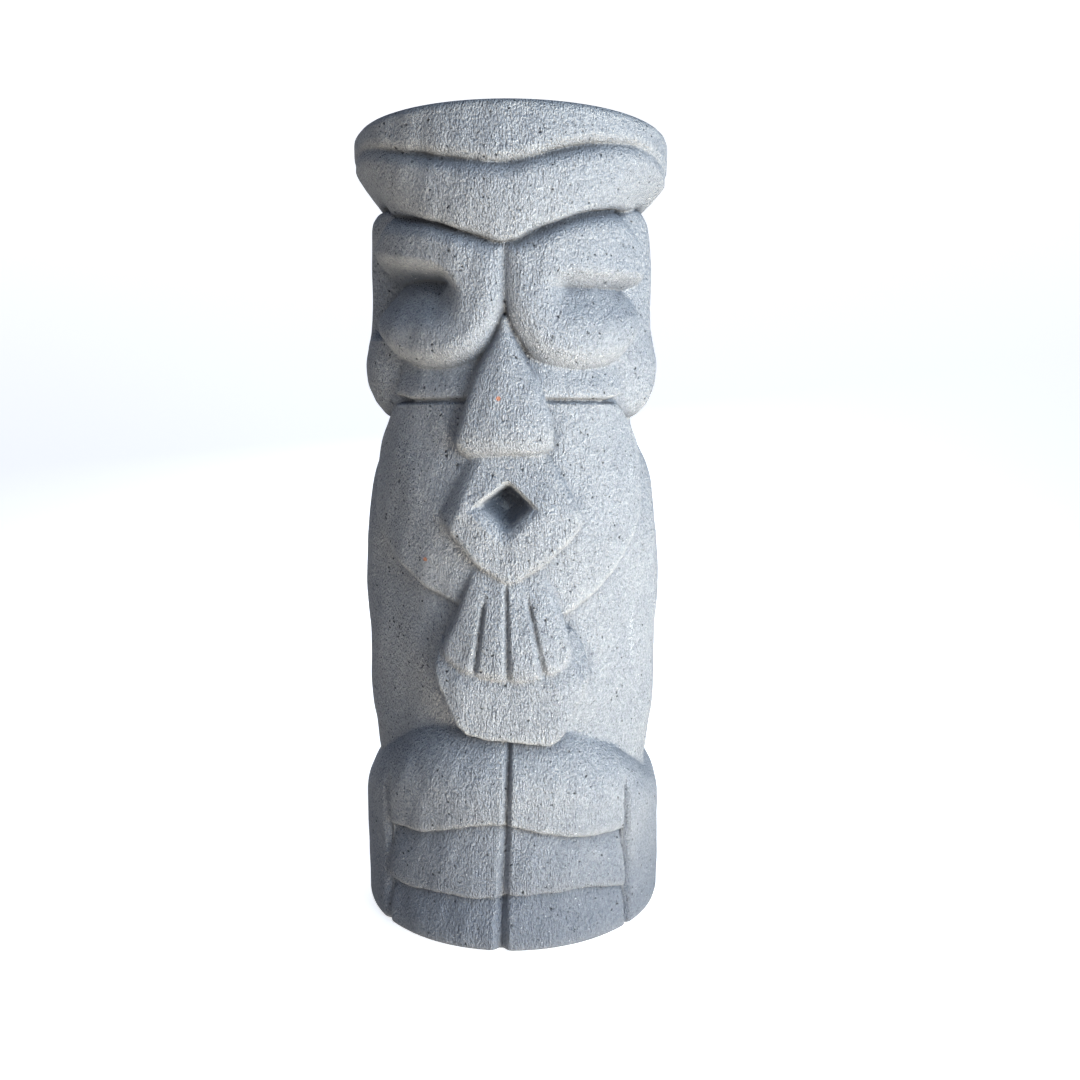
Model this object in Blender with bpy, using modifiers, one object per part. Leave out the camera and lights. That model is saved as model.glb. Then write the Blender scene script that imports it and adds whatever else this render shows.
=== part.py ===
"""Tiki figure, carved from one cylinder of grey lava stone.

The figure faces -Y and stands on z = 0, with +Z up and the origin at the centre of its foot.
Each carved volume is an object of its own, parted from its neighbours by a hairline of GAP:
a head core, a torso and a base drum, and the reliefs that stand on them.
Every radius is the block's radius less the depth of a cut, and every height is stacked
on the one below it along the figure's centre line.
"""

import math

import bmesh
import bpy
from mathutils import Matrix, Vector

# ---------------------------------------------------------------- driving dimensions, in metres
BLOCK_RADIUS = 0.120
GAP = 0.0003

# Heights up the centre line, from the foot to the flat top.
BASE_CREST_H = 0.160
BELLY_SHOW_H = 0.045
BEARD_SHOW_H = 0.070
MOUTH_H = 0.085
NOSE_H = 0.100
BRIDGE_H = 0.048
BROW_H = 0.051
BAND_H = 0.041

Z_CREST = BASE_CREST_H
Z_HEM = Z_CREST + BELLY_SHOW_H
Z_CHIN = Z_HEM + BEARD_SHOW_H
Z_NOSE_BASE = Z_CHIN + MOUTH_H
Z_NOSE_TOP = Z_NOSE_BASE + NOSE_H
Z_BROW_TIP = Z_NOSE_TOP + BRIDGE_H
Z_BAND_TIP = Z_BROW_TIP + BROW_H
HEIGHT = Z_BAND_TIP + BAND_H

# Heights away from the centre line.
EYE_SAG = 0.038
STRIP_H = 0.021
EAR_DROP = 0.031
BROW_RISE = 0.036
BAND_RISE = 0.020
DRUM_H = 0.115
LOW_ROW_H = 0.042
MIDDLE_ROW_H = 0.055

Z_EYE_BASE = Z_NOSE_TOP - EYE_SAG
Z_FACE_TOP = Z_EYE_BASE - STRIP_H
Z_EAR_BASE = Z_EYE_BASE - EAR_DROP
Z_BROW_SIDE = Z_BROW_TIP + BROW_RISE
Z_BAND_SIDE = Z_BAND_TIP + BAND_RISE
Z_MIDDLE_ROW = LOW_ROW_H
Z_TOP_ROW = LOW_ROW_H + MIDDLE_ROW_H

# Depths of the cuts below the block's own surface.
HEAD_CUT = 0.022
EYE_CUT = 0.006
EYE_EDGE_CUT = 0.014
EAR_CUT = 0.006
TEMPLE_CUT = 0.020
STRIP_CUT = 0.015
FACE_TOP_CUT = 0.023
FACE_CUT = 0.003
TORSO_CUT = 0.003
WAIST_CUT = 0.011
BAND_LIP_CUT = 0.001
BROW_TIP_CUT = 0.008
ROW_TOP_CUT = 0.006
RECESS_CUT = 0.022
RELIEF_ROOT_CUT = 0.042
SLIT_DEPTH = 0.014
SLIT_RISE = 0.058
MOUTH_DEPTH = 0.020
BEARD_GROOVE_DEPTH = 0.004

# How much flatter the front is than the sides.
HEAD_FRONT_SHARE = 0.86
TORSO_FRONT_SHARE = 0.82
FACE_FRONT_SHARE = 0.92
MOUTH_BED = 0.005
NOSE_BED = 0.010

# Half widths of the reliefs on the centre line.
NOSE_HALF_W = 0.031
MOUTH_HALF_W = 0.047
BEARD_HALF_W = 0.045
BELLY_HALF_W = 0.054
MOUTH_HOLE_HALF_W = 0.019
MOUTH_HOLE_HALF_H = 0.012
MOUTH_BEVEL = 0.008

# Angles round the block from straight ahead, in degrees.
EYE_SWEEP = 84.0
EAR_FRONT = 50.5
EAR_BACK = 118.0
STRIP_SWEEP = 54.0
FACE_SWEEP = 80.0
PANEL_SWEEP = 49.0
SLIT_START = 15.0
SLIT_END = 78.0

TURN_STEPS = 48
LOFT_STEP = 6.0
STONE = (0.235, 0.255, 0.285, 1.0)


# ---------------------------------------------------------------- shared tools
def collection(name):
    made = bpy.data.collections.new(name)
    bpy.context.scene.collection.children.link(made)
    return made


def clear_scene():
    for obj in list(bpy.data.objects):
        bpy.data.objects.remove(obj, do_unlink=True)


def along(points, x):
    """The height at x of a smooth line through points, which are (x, height) in order. It never
    swings past the points, so two lines with a level stretch in common stay level there."""
    if x <= points[0][0]:
        return points[0][1]
    if x >= points[-1][0]:
        return points[-1][1]
    i = max(k for k in range(len(points) - 1) if points[k][0] <= x)

    def rate(k):
        k = min(max(k, 0), len(points) - 2)
        (xa, ya), (xb, yb) = points[k], points[k + 1]
        return (yb - ya) / (xb - xa)

    def slope(k):
        before, after = rate(k - 1), rate(k)
        return 2 * before * after / (before + after) if before * after > 0 else 0.0

    (x0, y0), (x1, y1) = points[i], points[i + 1]
    w, t = x1 - x0, (x - x0) / (x1 - x0)
    return (
        (1 + 2 * t) * (1 - t) ** 2 * y0
        + t * (1 - t) ** 2 * w * slope(i)
        + t * t * (3 - 2 * t) * y1
        + t * t * (t - 1) * w * slope(i + 1)
    )


def spread(low, high, step):
    """Evenly spaced values from low to high, no further apart than step."""
    count = max(1, math.ceil((high - low) / step - 1e-9))
    return [low + (high - low) * k / count for k in range(count + 1)]


def stops(low, high):
    """Angles from low to high, at the rings that all the lofts share."""
    first = math.floor(low / LOFT_STEP + 1e-9) + 1
    last = math.ceil(high / LOFT_STEP - 1e-9) - 1
    return [low, *(LOFT_STEP * k for k in range(first, last + 1)), high]


def hidden(obj):
    obj.hide_render = True
    obj.display_type = "WIRE"
    return obj


def object_of(bm, name, into):
    bmesh.ops.triangulate(bm, faces=bm.faces, quad_method="FIXED")
    bmesh.ops.recalc_face_normals(bm, faces=bm.faces)
    mesh = bpy.data.meshes.new(name)
    bm.to_mesh(mesh)
    bm.free()
    obj = bpy.data.objects.new(name, mesh)
    into.objects.link(obj)
    return hidden(obj) if into is CUTTERS else obj


def baked(obj):
    """Turns an object with modifiers into its plain evaluated mesh."""
    bpy.context.view_layer.update()
    graph = bpy.context.evaluated_depsgraph_get()
    mesh = bpy.data.meshes.new_from_object(obj.evaluated_get(graph))
    obj.modifiers.clear()
    obj.data = mesh
    return obj


def turned(name, profile, into, front_share=1.0):
    """A solid of revolution about Z. The profile is (radius, z) down the outer side, and
    front_share makes the half that faces -Y shallower than the rest."""
    mesh = bpy.data.meshes.new(name)
    points = [(0, profile[0][1]), *profile, (0, profile[-1][1])]
    edges = [(k, k + 1) for k in range(len(points) - 1)]
    mesh.from_pydata([(r, 0, z) for r, z in points], edges, [])
    obj = bpy.data.objects.new(name, mesh)
    into.objects.link(obj)
    screw = obj.modifiers.new("Screw", "SCREW")
    screw.steps = screw.render_steps = TURN_STEPS
    screw.use_merge_vertices = True
    screw.merge_threshold = 0.00001
    baked(obj)
    for vertex in obj.data.vertices:
        if vertex.co.y < 0:
            vertex.co.y *= front_share
    return hidden(obj) if into is CUTTERS else obj


def lofted(name, angles, section, into):
    """A solid lofted round Z. section(angle) is a closed ring of (radius, z), in degrees."""
    bm = bmesh.new()
    rings = []
    for angle in angles:
        a = math.radians(angle)
        ring = [Vector((r * math.sin(a), -r * math.cos(a), z)) for r, z in section(angle)]
        rings.append([bm.verts.new(p) for p in ring])
    for near, far in zip(rings, rings[1:]):
        for k in range(len(near)):
            j = (k + 1) % len(near)
            bm.faces.new((near[k], near[j], far[j], far[k]))
    bm.faces.new(rings[0])
    bm.faces.new(list(reversed(rings[-1])))
    return object_of(bm, name, into)


def hull(name, points, into):
    """The convex block round the points."""
    bm = bmesh.new()
    for point in points:
        bm.verts.new(point)
    made = bmesh.ops.convex_hull(bm, input=bm.verts)
    spare = {e for e in made["geom_interior"] if isinstance(e, bmesh.types.BMVert)}
    bmesh.ops.delete(bm, geom=list(spare), context="VERTS")
    return object_of(bm, name, into)


def grown(obj, by=GAP):
    """A cutter whose faces all stand a little outside those of a convex block."""
    bm = bmesh.new()
    bm.from_mesh(obj.data)
    bm.normal_update()
    moves = [v.normal * by * min(v.calc_shell_factor(), 4.0) for v in bm.verts]
    for vertex, move in zip(bm.verts, moves):
        vertex.co += move
    return object_of(bm, obj.name + "_room", CUTTERS)


def cut(obj, *cutters, solver="EXACT"):
    for cutter in cutters:
        boolean = obj.modifiers.new("Cut_" + cutter.name, "BOOLEAN")
        boolean.operation = "DIFFERENCE"
        boolean.solver = solver
        boolean.object = cutter
    return obj


def finish(obj):
    """Bakes the cuts, welds what they leave, and shades and colours the stone."""
    baked(obj)
    bm = bmesh.new()
    bm.from_mesh(obj.data)
    bmesh.ops.triangulate(bm, faces=bm.faces)
    bmesh.ops.remove_doubles(bm, verts=bm.verts, dist=1e-6)
    bmesh.ops.dissolve_degenerate(bm, edges=bm.edges, dist=1e-6)
    bm.to_mesh(obj.data)
    bm.free()
    obj.data.materials.clear()
    obj.data.materials.append(stone_material(obj.name))
    obj.data.shade_smooth()
    obj.data.set_sharp_from_angle(angle=math.radians(35))
    return obj


def mirrored(obj, name):
    """The other side's copy of a piece, across the plane x = 0."""
    mesh = obj.data.copy()
    mesh.transform(Matrix.Scale(-1, 4, (1, 0, 0)))
    mesh.flip_normals()
    mesh.materials[0] = stone_material(name)
    copy = bpy.data.objects.new(name, mesh)
    FIGURE.objects.link(copy)
    return copy


def stone_material(name):
    material = bpy.data.materials.new(name + "_stone")
    material.use_nodes = True
    shader = material.node_tree.nodes["Principled BSDF"]
    shader.inputs["Base Color"].default_value = STONE
    shader.inputs["Roughness"].default_value = 0.92
    shader.inputs["Metallic"].default_value = 0.0
    return material


def on_block(x, z, depth):
    """A point of the front at x and z, on the surface that lies depth inside the block."""
    radius = BLOCK_RADIUS - depth
    return (x, -math.sqrt(radius * radius - x * x), z)


# ---------------------------------------------------------------- lines that neighbours share
def brow_line(angle):
    """Height of the brow's lower edge: a V over the nose that levels out at the sides."""
    rises = [(0, 0), (9, 0.2), (18, 0.42), (30, 0.64), (45, 0.78), (60, 0.9), (82, 1), (180, 1)]
    return Z_BROW_TIP + BROW_RISE * along(rises, abs(angle))


def band_line(angle):
    """Height of the crown band's lower lip: a shallow V that dips again at the sides."""
    rises = [(0, 0), (10, 0.2), (24, 0.57), (37, 0.85), (57, 1), (80, 0.85), (180, 0.85)]
    return Z_BAND_TIP + BAND_RISE * along(rises, abs(angle))


def eye_base_line(angle):
    """Height of the eye's rounded lower edge above the lowest point of the eye."""
    rises = [(0, 0.044), (2, 0.036), (6, 0.019), (12, 0.007), (21, 0.0015), (30, 0), (41, 0.004),
             (54, 0.012), (65, 0.0255), (75, 0.031), (80, 0.034), (EYE_SWEEP, 0.044)]
    return Z_EYE_BASE + along(rises, abs(angle))


def eye_top_line(angle):
    """Height of the eye's upper edge, which runs into the brow and rounds off at the temple."""
    drops = [(0, -0.005), (34, -0.005), (40, 0.003), (50, 0.0125), (63, 0.028), (75, 0.034),
             (80, 0.038), (EYE_SWEEP, 0.050)]
    return brow_line(angle) - along(drops, abs(angle))


def crest_line(angle):
    """Height of the base's top edge, highest beside the belly."""
    drops = [(0, 0), (18, 0), (34, 0.005), (42, 0.015), (50, 0.030)]
    return Z_CREST - along(drops, abs(angle))


def row_line(z_middle, sag):
    """The lower edge of a row of panels, which drops by sag from the middle to the side."""
    return lambda angle: z_middle - sag * along([(0, 0), (10, 0.35), (25, 0.65), (50, 1)], abs(angle))


def bulged(low, high, inner, outer, edge, count=7):
    """A section whose outer side swells from edge, at both lips, to outer in the middle."""
    ring = [(inner, low)]
    for k in range(count):
        t = k / (count - 1)
        ring.append((outer - (outer - edge) * abs(2 * t - 1) ** 3, low + (high - low) * t))
    return [*ring, (inner, high)]


def roomy(low, high, inner, low_edge, high_edge):
    """The section of a cutter that passes both edges and stands clear of the block."""
    far, taper = BLOCK_RADIUS + 0.03, 0.001
    return [(inner, low), (low_edge, low), (far, low + taper),
            (far, high - taper), (high_edge, high), (inner, high)]


# ---------------------------------------------------------------- the three cores
def head_core_profile(room=0.0):
    radius = BLOCK_RADIUS - HEAD_CUT + room
    return [(radius, Z_BROW_SIDE - GAP + 0.8 * room), (radius, Z_EAR_BASE + GAP - room)]


def torso_profile(room=0.0):
    """The shoulders swell out under the neck, and the sides taper towards the waist."""
    shoulder = Z_CHIN + 0.012
    line = [
        (DRUM_H + GAP, BLOCK_RADIUS - WAIST_CUT),
        (DRUM_H + 0.035, BLOCK_RADIUS - WAIST_CUT + 0.004),
        (Z_HEM, BLOCK_RADIUS - TORSO_CUT - 0.001),
        (shoulder, BLOCK_RADIUS - TORSO_CUT),
        (shoulder + 0.6 * (Z_EAR_BASE - shoulder), BLOCK_RADIUS - TORSO_CUT - 0.009),
        (Z_EAR_BASE, BLOCK_RADIUS - HEAD_CUT),
    ]
    heights = spread(line[0][0], line[-1][0], 0.022)
    profile = [(along(line, z) + room, z) for z in reversed(heights)]
    profile[0] = (profile[0][0], profile[0][1] + room)
    profile[-1] = (profile[-1][0], profile[-1][1] - room)
    return profile


def make_head_core():
    return turned("head_core", head_core_profile(), FIGURE, HEAD_FRONT_SHARE)


def make_torso():
    return turned("torso", torso_profile(), FIGURE, TORSO_FRONT_SHARE)


def make_base_drum():
    """The drum that the figure stands on, with a recess across its front for the panels."""
    radius, round_h = BLOCK_RADIUS, 0.031
    shoulder = [(Z_TOP_ROW - round_h + 0.018, 0), (DRUM_H - 0.009, 0.006), (DRUM_H, WAIST_CUT - 0.001)]
    profile = [(radius - drop, z) for z, drop in reversed(shoulder)]
    drum = turned("base_drum", [*profile, (radius, 0.003), (radius - 0.003, 0)], FIGURE)
    inner, outer = radius - RECESS_CUT - GAP, radius + 0.02
    ends = PANEL_SWEEP + math.degrees(GAP / radius)
    ring = [(inner, -0.01), (outer, -0.01), (outer, DRUM_H + 0.01), (inner, DRUM_H + 0.01)]
    recess = lofted("panel_recess", stops(-ends, ends), lambda angle: ring, CUTTERS)
    return cut(drum, recess)


# ---------------------------------------------------------------- crown
def make_crown_band():
    """The flat-topped band round the crown."""
    radius = BLOCK_RADIUS

    def section(angle):
        low = band_line(angle)
        return [(0, Z_BAND_SIDE), (radius - 0.006, low), (radius - BAND_LIP_CUT, low + 0.006),
                (radius, HEIGHT - 0.012), (radius - 0.003, HEIGHT - 0.003),
                (radius - 0.010, HEIGHT), (0, HEIGHT)]

    return full_ring("crown_band", section, FIGURE)


def brow_section(angle, room=0.0):
    """The brow hangs lowest over the nose and tapers in at the sides and back."""
    radius = BLOCK_RADIUS
    low, high = brow_line(angle) - room, band_line(angle) - GAP
    side = along([(0, 0), (40, 0.35), (75, 1), (180, 1)], abs(angle))
    tip = BROW_TIP_CUT + (TEMPLE_CUT - BROW_TIP_CUT) * side
    rise = high - low
    return [(0, Z_BROW_SIDE - room), (radius - tip, low), (radius - 0.5 * tip, low + 0.2 * rise),
            (radius - 0.001, low + 0.55 * rise), (radius - 0.001, low + 0.75 * rise),
            (radius - 0.006, high), (0, Z_BAND_SIDE - GAP)]


def full_ring(name, section, into):
    """A solid lofted all the way round Z. Both ends of its section lie on the axis."""
    bm = bmesh.new()
    ends = section(0)
    foot, head = bm.verts.new((0, 0, ends[0][1])), bm.verts.new((0, 0, ends[-1][1]))
    rings = []
    for angle in spread(-180, 180, LOFT_STEP)[:-1]:
        a = math.radians(angle)
        ring = [(r * math.sin(a), -r * math.cos(a), z) for r, z in section(angle)[1:-1]]
        rings.append([bm.verts.new(p) for p in ring])
    for near, far in zip(rings, [*rings[1:], rings[0]]):
        bm.faces.new((foot, near[0], far[0]))
        bm.faces.new((near[-1], head, far[-1]))
        for k in range(len(near) - 1):
            bm.faces.new((near[k], near[k + 1], far[k + 1], far[k]))
    return object_of(bm, name, into)


# ---------------------------------------------------------------- eyes, ears and cheek strips
def eye_section(angle, room=0.0):
    low, high = eye_base_line(angle) - room, eye_top_line(angle) - GAP + room
    near_end = min(abs(angle) / 8.0, 1.0) * min((EYE_SWEEP + 10 - abs(angle)) / 25.0, 1.0)
    outer = BLOCK_RADIUS - EYE_CUT - 0.006 * (1 - near_end)
    edge = BLOCK_RADIUS - EYE_EDGE_CUT - 0.003 * (1 - near_end)
    inner = BLOCK_RADIUS - RELIEF_ROOT_CUT
    if room:
        return roomy(low, high, inner, edge, edge)
    return bulged(low, high, inner, outer, edge)


def eye_angles(room=0.0):
    start = math.degrees(GAP / BLOCK_RADIUS)
    spare = [EYE_SWEEP + math.degrees(room / BLOCK_RADIUS)] if room else []
    return [start, 2.0, 4.0, *stops(6.0, EYE_SWEEP), *spare]


def make_eye(*rooms):
    """A swelling lobe with a level wedge cut into it, which fades out towards both ends."""
    radius = BLOCK_RADIUS
    z_slit = Z_EYE_BASE + SLIT_RISE

    def slit_section(angle):
        depth = along([(SLIT_START, 0.002), (34, SLIT_DEPTH), (60, SLIT_DEPTH), (SLIT_END, 0.003)], angle)
        apex, wide = radius - depth - EYE_CUT, radius + 0.02
        reach = (wide - apex) / SLIT_DEPTH
        z = z_slit + 0.004 * (angle - SLIT_START) / (SLIT_END - SLIT_START)
        return [(apex, z), (wide, z - 0.020 * reach), (wide, z + 0.013 * reach)]

    slit = lofted("eye_slit", stops(SLIT_START, SLIT_END), slit_section, CUTTERS)
    return cut(lofted("eye_right", eye_angles(), eye_section, FIGURE), *rooms, slit)


def make_ear(*rooms):
    """The ear runs from the brow down to its lobe, behind the end of the eye. Its cutters meet
    it at very small angles, which only the MANIFOLD solver closes."""
    radius = BLOCK_RADIUS
    base = [(EAR_FRONT, 0.013), (60, 0.004), (75, 0), (95, 0), (108, 0.008), (EAR_BACK, 0.026)]
    top = [(EAR_FRONT, 0.003), (75, 0), (92, 0), (106, 0.010), (EAR_BACK, 0.034)]
    cuts = [(0, HEAD_CUT - 0.008), (0.06, 0.013), (0.25, EAR_CUT), (0.45, EAR_CUT + 0.005),
            (0.75, EAR_CUT + 0.006), (0.93, EAR_CUT + 0.008), (1, TEMPLE_CUT - 0.006)]

    def section(angle):
        low = Z_EAR_BASE + GAP + along(base, angle)
        high = brow_line(angle) + 0.005 - along(top, angle)
        sunk = along([(EAR_FRONT, 0.006), (60, 0), (100, 0), (EAR_BACK, 0.010)], angle)
        outer = [(radius - c - sunk, low + (high - low) * t) for t, c in cuts]
        inner = radius - RELIEF_ROOT_CUT
        return [(inner, low), *outer, (inner, high)]

    angles = spread(EAR_FRONT, EAR_BACK, LOFT_STEP)
    return cut(lofted("ear_right", angles, section, FIGURE), *rooms, solver="MANIFOLD")


def strip_section(angle, room=0.0):
    low = Z_FACE_TOP + GAP - room
    slant = along([(44, 0), (STRIP_SWEEP, 0.011)], abs(angle))
    flat = Z_EYE_BASE + along([(6, 0.016), (20, 0.006), (STRIP_SWEEP, 0.006)], abs(angle))
    high = flat - slant + room
    outer, inner = BLOCK_RADIUS - STRIP_CUT, BLOCK_RADIUS - RELIEF_ROOT_CUT
    if room:
        return roomy(low, high, inner, outer, outer - 0.003)
    return [(inner, low), (outer, low), (outer, low + 0.004), (outer - 0.003, high), (inner, high)]


def strip_angles(room=0.0):
    spare = [STRIP_SWEEP + math.degrees(room / BLOCK_RADIUS)] if room else []
    return [*stops(6.0, STRIP_SWEEP), *spare]


# ---------------------------------------------------------------- face plate
def make_face_plate():
    """The shield that carries nose and mouth. It flares outwards as it comes down."""
    radius = BLOCK_RADIUS
    upper = [(0, 0), (50, 0), (62, 0.010), (72, 0.023), (FACE_SWEEP, 0.042)]
    z_tip = Z_CHIN - 0.039
    lower = [(0, 0), (20, 0.010), (30, 0.020), (38, 0.030), (47, 0.044), (57, 0.062),
             (67, 0.086), (75, 0.104), (FACE_SWEEP, 0.115)]
    flare = [(z_tip, FACE_CUT), (Z_CHIN + 0.025, FACE_CUT), (Z_CHIN + 0.065, FACE_CUT + 0.007),
             (Z_FACE_TOP - 0.037, FACE_TOP_CUT - 0.008), (Z_FACE_TOP, FACE_TOP_CUT)]

    def section(angle):
        low = z_tip + along(lower, abs(angle))
        high = Z_FACE_TOP - along(upper, abs(angle))
        share = FACE_FRONT_SHARE
        a = math.radians(angle)
        squeeze = 1 / math.hypot(math.sin(a), math.cos(a) / share)
        ring = [(radius - RELIEF_ROOT_CUT, low)]
        for k in range(8):
            z = low + (high - low) * k / 7
            ring.append(((radius - along(flare, z)) * squeeze, z))
        return [*ring, (radius - RELIEF_ROOT_CUT, high)]

    return lofted("face_plate", stops(-FACE_SWEEP, FACE_SWEEP), section, FIGURE)


# ---------------------------------------------------------------- blocks on the centre line
def make_nose():
    """A four-sided wedge, narrow between the eyes and widest just above its base."""
    w, z0, z1 = NOSE_HALF_W, Z_NOSE_BASE, Z_NOSE_TOP
    points = []
    for side in (-1, 1):
        points += [
            on_block(side * 0.002, z1, 0.016),
            on_block(side * 0.7 * w, z0 + 0.017, 0.0005),
            on_block(side * 0.95 * w, z0 + 0.014, 0.004),
            on_block(side * 0.75 * w, z0 + 0.002, 0.007),
            on_block(side * 0.004, z1, RELIEF_ROOT_CUT),
            on_block(side * 1.08 * w, z0 + 0.012, RELIEF_ROOT_CUT),
            on_block(side * 0.80 * w, z0, RELIEF_ROOT_CUT),
        ]
    return hull("nose", points, FIGURE)


def make_bed(name, radius, z_low, z_high, share):
    """What a relief rests on, so that the stone runs on unbroken behind it."""
    profile = [(radius, z_high), (radius, z_low)]
    return turned(name, profile, CUTTERS, share), turned(
        name + "_room", [(radius + GAP / share, z_high + GAP), (radius + GAP / share, z_low - GAP)], CUTTERS, share
    )


def make_mouth(nose_room):
    """A lozenge with blunt corners that pouts from the face, with a four-sided hole in it."""
    w, z_low, z_high = MOUTH_HALF_W, Z_CHIN, Z_NOSE_BASE + 0.006
    middle = (z_low + z_high) / 2
    half = (z_high - z_low) / 2
    blunt = 0.12
    corners = []
    for side in (-1, 1):
        corners += [(side, blunt), (side, -blunt)]
        corners += [(blunt, side), (-blunt, side)]
    points = []
    for u, v in corners:
        points.append(on_block(0.97 * w * u, middle + 0.97 * half * v, 0.004))
        points.append(on_block(0.86 * w * u, middle + 0.86 * half * v, 0.0008))
        points.append(on_block(1.05 * w * u, middle + 1.05 * half * v, RELIEF_ROOT_CUT + 0.004))
    mouth = hull("mouth", points, FIGURE)
    room = grown(mouth)
    hole_z = middle + 0.002
    front, back = -BLOCK_RADIUS - 0.002, -BLOCK_RADIUS + MOUTH_DEPTH
    rim, throat = [], []
    for u, v in ((-1, 0), (1, 0), (0, -1), (0, 1)):
        x, z = MOUTH_HOLE_HALF_W * u, MOUTH_HOLE_HALF_H * v
        rim.append((x + MOUTH_BEVEL * u * 1.2, front, hole_z + z + MOUTH_BEVEL * v * 1.2))
        rim.append((x, -BLOCK_RADIUS + MOUTH_BEVEL, hole_z + z))
        throat.append((x, front, hole_z + z))
        throat.append((0.9 * x, back, hole_z + 0.9 * z))
    radius = BLOCK_RADIUS - TORSO_CUT + MOUTH_BED
    bed, bed_room = make_bed("mouth_bed", radius, Z_HEM, Z_NOSE_BASE + 0.020, TORSO_FRONT_SHARE)
    holes = hull("mouth_rim", rim, CUTTERS), hull("mouth_throat", throat, CUTTERS)
    cut(mouth, nose_room, bed_room, *holes)
    return mouth, baked(cut(room, bed))


def make_beard(mouth_room, torso_room):
    """A fan of four locks that spreads from under the mouth to a rounded hem."""
    w, z_top = BEARD_HALF_W, Z_CHIN + 0.012
    z_side = Z_HEM + 0.018
    hem = [(-1.0, z_side), (-0.79, Z_HEM + 0.007), (-0.43, Z_HEM + 0.002), (0, Z_HEM),
           (0.43, Z_HEM + 0.001), (0.79, Z_HEM + 0.004), (0.96, Z_HEM + 0.012), (0.95, z_side + 0.003)]
    top = [(-0.47, z_top), (0.47, z_top)]
    points = []
    for u, z in hem:
        points.append(on_block(0.97 * w * u, z + 0.003, 0.0008))
        points.append(on_block(w * u, z, 0.004))
        points.append(on_block(1.02 * w * u, z - 0.001, RELIEF_ROOT_CUT))
    for u, z in top:
        points.append(on_block(w * u, z, 0.008))
        points.append(on_block(1.1 * w * u, z, RELIEF_ROOT_CUT))
    beard = hull("beard", points, FIGURE)
    room = grown(beard)
    grooves = [beard_groove(f"beard_groove_{k + 1}", u) for k, u in enumerate((-0.5, 0.0, 0.55))]
    return cut(beard, mouth_room, torso_room, *grooves), room


def beard_groove(name, share):
    """A V groove that runs down the fan and opens towards the hem."""
    top_x, low_x = 0.6 * share * BEARD_HALF_W, share * BEARD_HALF_W
    z_top, z_low = Z_CHIN - 0.010, Z_HEM - 0.004
    out, depth = 0.004, BEARD_GROOVE_DEPTH
    points = [on_block(top_x, z_top, 0.004)]
    for side in (-1, 1):
        points.append(on_block(top_x + side * 0.0012, z_top, -out))
        points.append(on_block(low_x + side * 0.0035, z_low, -out))
    points.append(on_block(low_x, z_low, depth + 0.002))
    return hull(name, points, CUTTERS)


def make_belly(beard_room, torso_room):
    """A six-sided boss under the beard."""
    w = BELLY_HALF_W
    shape = [(-0.76, Z_HEM + 0.026), (-0.95, Z_HEM + 0.006), (-0.57, Z_CREST + 0.003),
             (0.0, Z_CREST - 0.002), (0.60, Z_CREST - 0.002), (1.05, Z_HEM - 0.004), (1.04, Z_HEM + 0.008),
             (0.80, Z_HEM + 0.026)]
    points = []
    for u, z in shape:
        points.append(on_block(0.97 * w * u, z + 0.002, 0.004))
        points.append(on_block(w * u, z, 0.009))
        points.append(on_block(1.02 * w * u, z, RELIEF_ROOT_CUT))
    belly = hull("belly", points, FIGURE)
    room = grown(belly)
    return cut(belly, beard_room, torso_room), room


# ---------------------------------------------------------------- panels of the base
def panel(name, side, low_line, high_line, cuts):
    """One panel. cuts is (share of its height, depth), so that its lower lip overhangs."""
    inner = BLOCK_RADIUS - RECESS_CUT
    start = math.degrees(0.5 * GAP / BLOCK_RADIUS)

    def section(angle):
        low, high = low_line(angle), high_line(angle) - GAP
        outer = [(BLOCK_RADIUS - depth, low + (high - low) * t) for t, depth in cuts]
        return [(inner, low), *outer, (inner, high)]

    angles = [side * a for a in stops(start, PANEL_SWEEP)]
    return lofted(name, angles, section, FIGURE)


def make_panels(belly_room, torso_room):
    low_line = row_line(Z_MIDDLE_ROW, 0.006)
    mid_line = row_line(Z_TOP_ROW, 0.017)
    made = []
    for side, word in ((-1, "left"), (1, "right")):
        lower = panel(f"lower_panel_{word}", side, lambda angle: 0.0, low_line,
                      [(0, 0.003), (0.1, 0.0), (0.5, 0.001), (1, ROW_TOP_CUT)])
        middle = panel(f"middle_panel_{word}", side, low_line, mid_line,
                       [(0, 0.002), (0.08, 0.0), (0.5, 0.001), (1, ROW_TOP_CUT)])
        upper = panel(f"upper_panel_{word}", side, mid_line, crest_line,
                      [(0, 0.002), (0.06, 0.0), (0.4, 0.001), (0.65, 0.005), (0.85, 0.011), (1, 0.019)])
        made += [lower, middle, cut(upper, belly_room, torso_room)]
    return made


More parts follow.
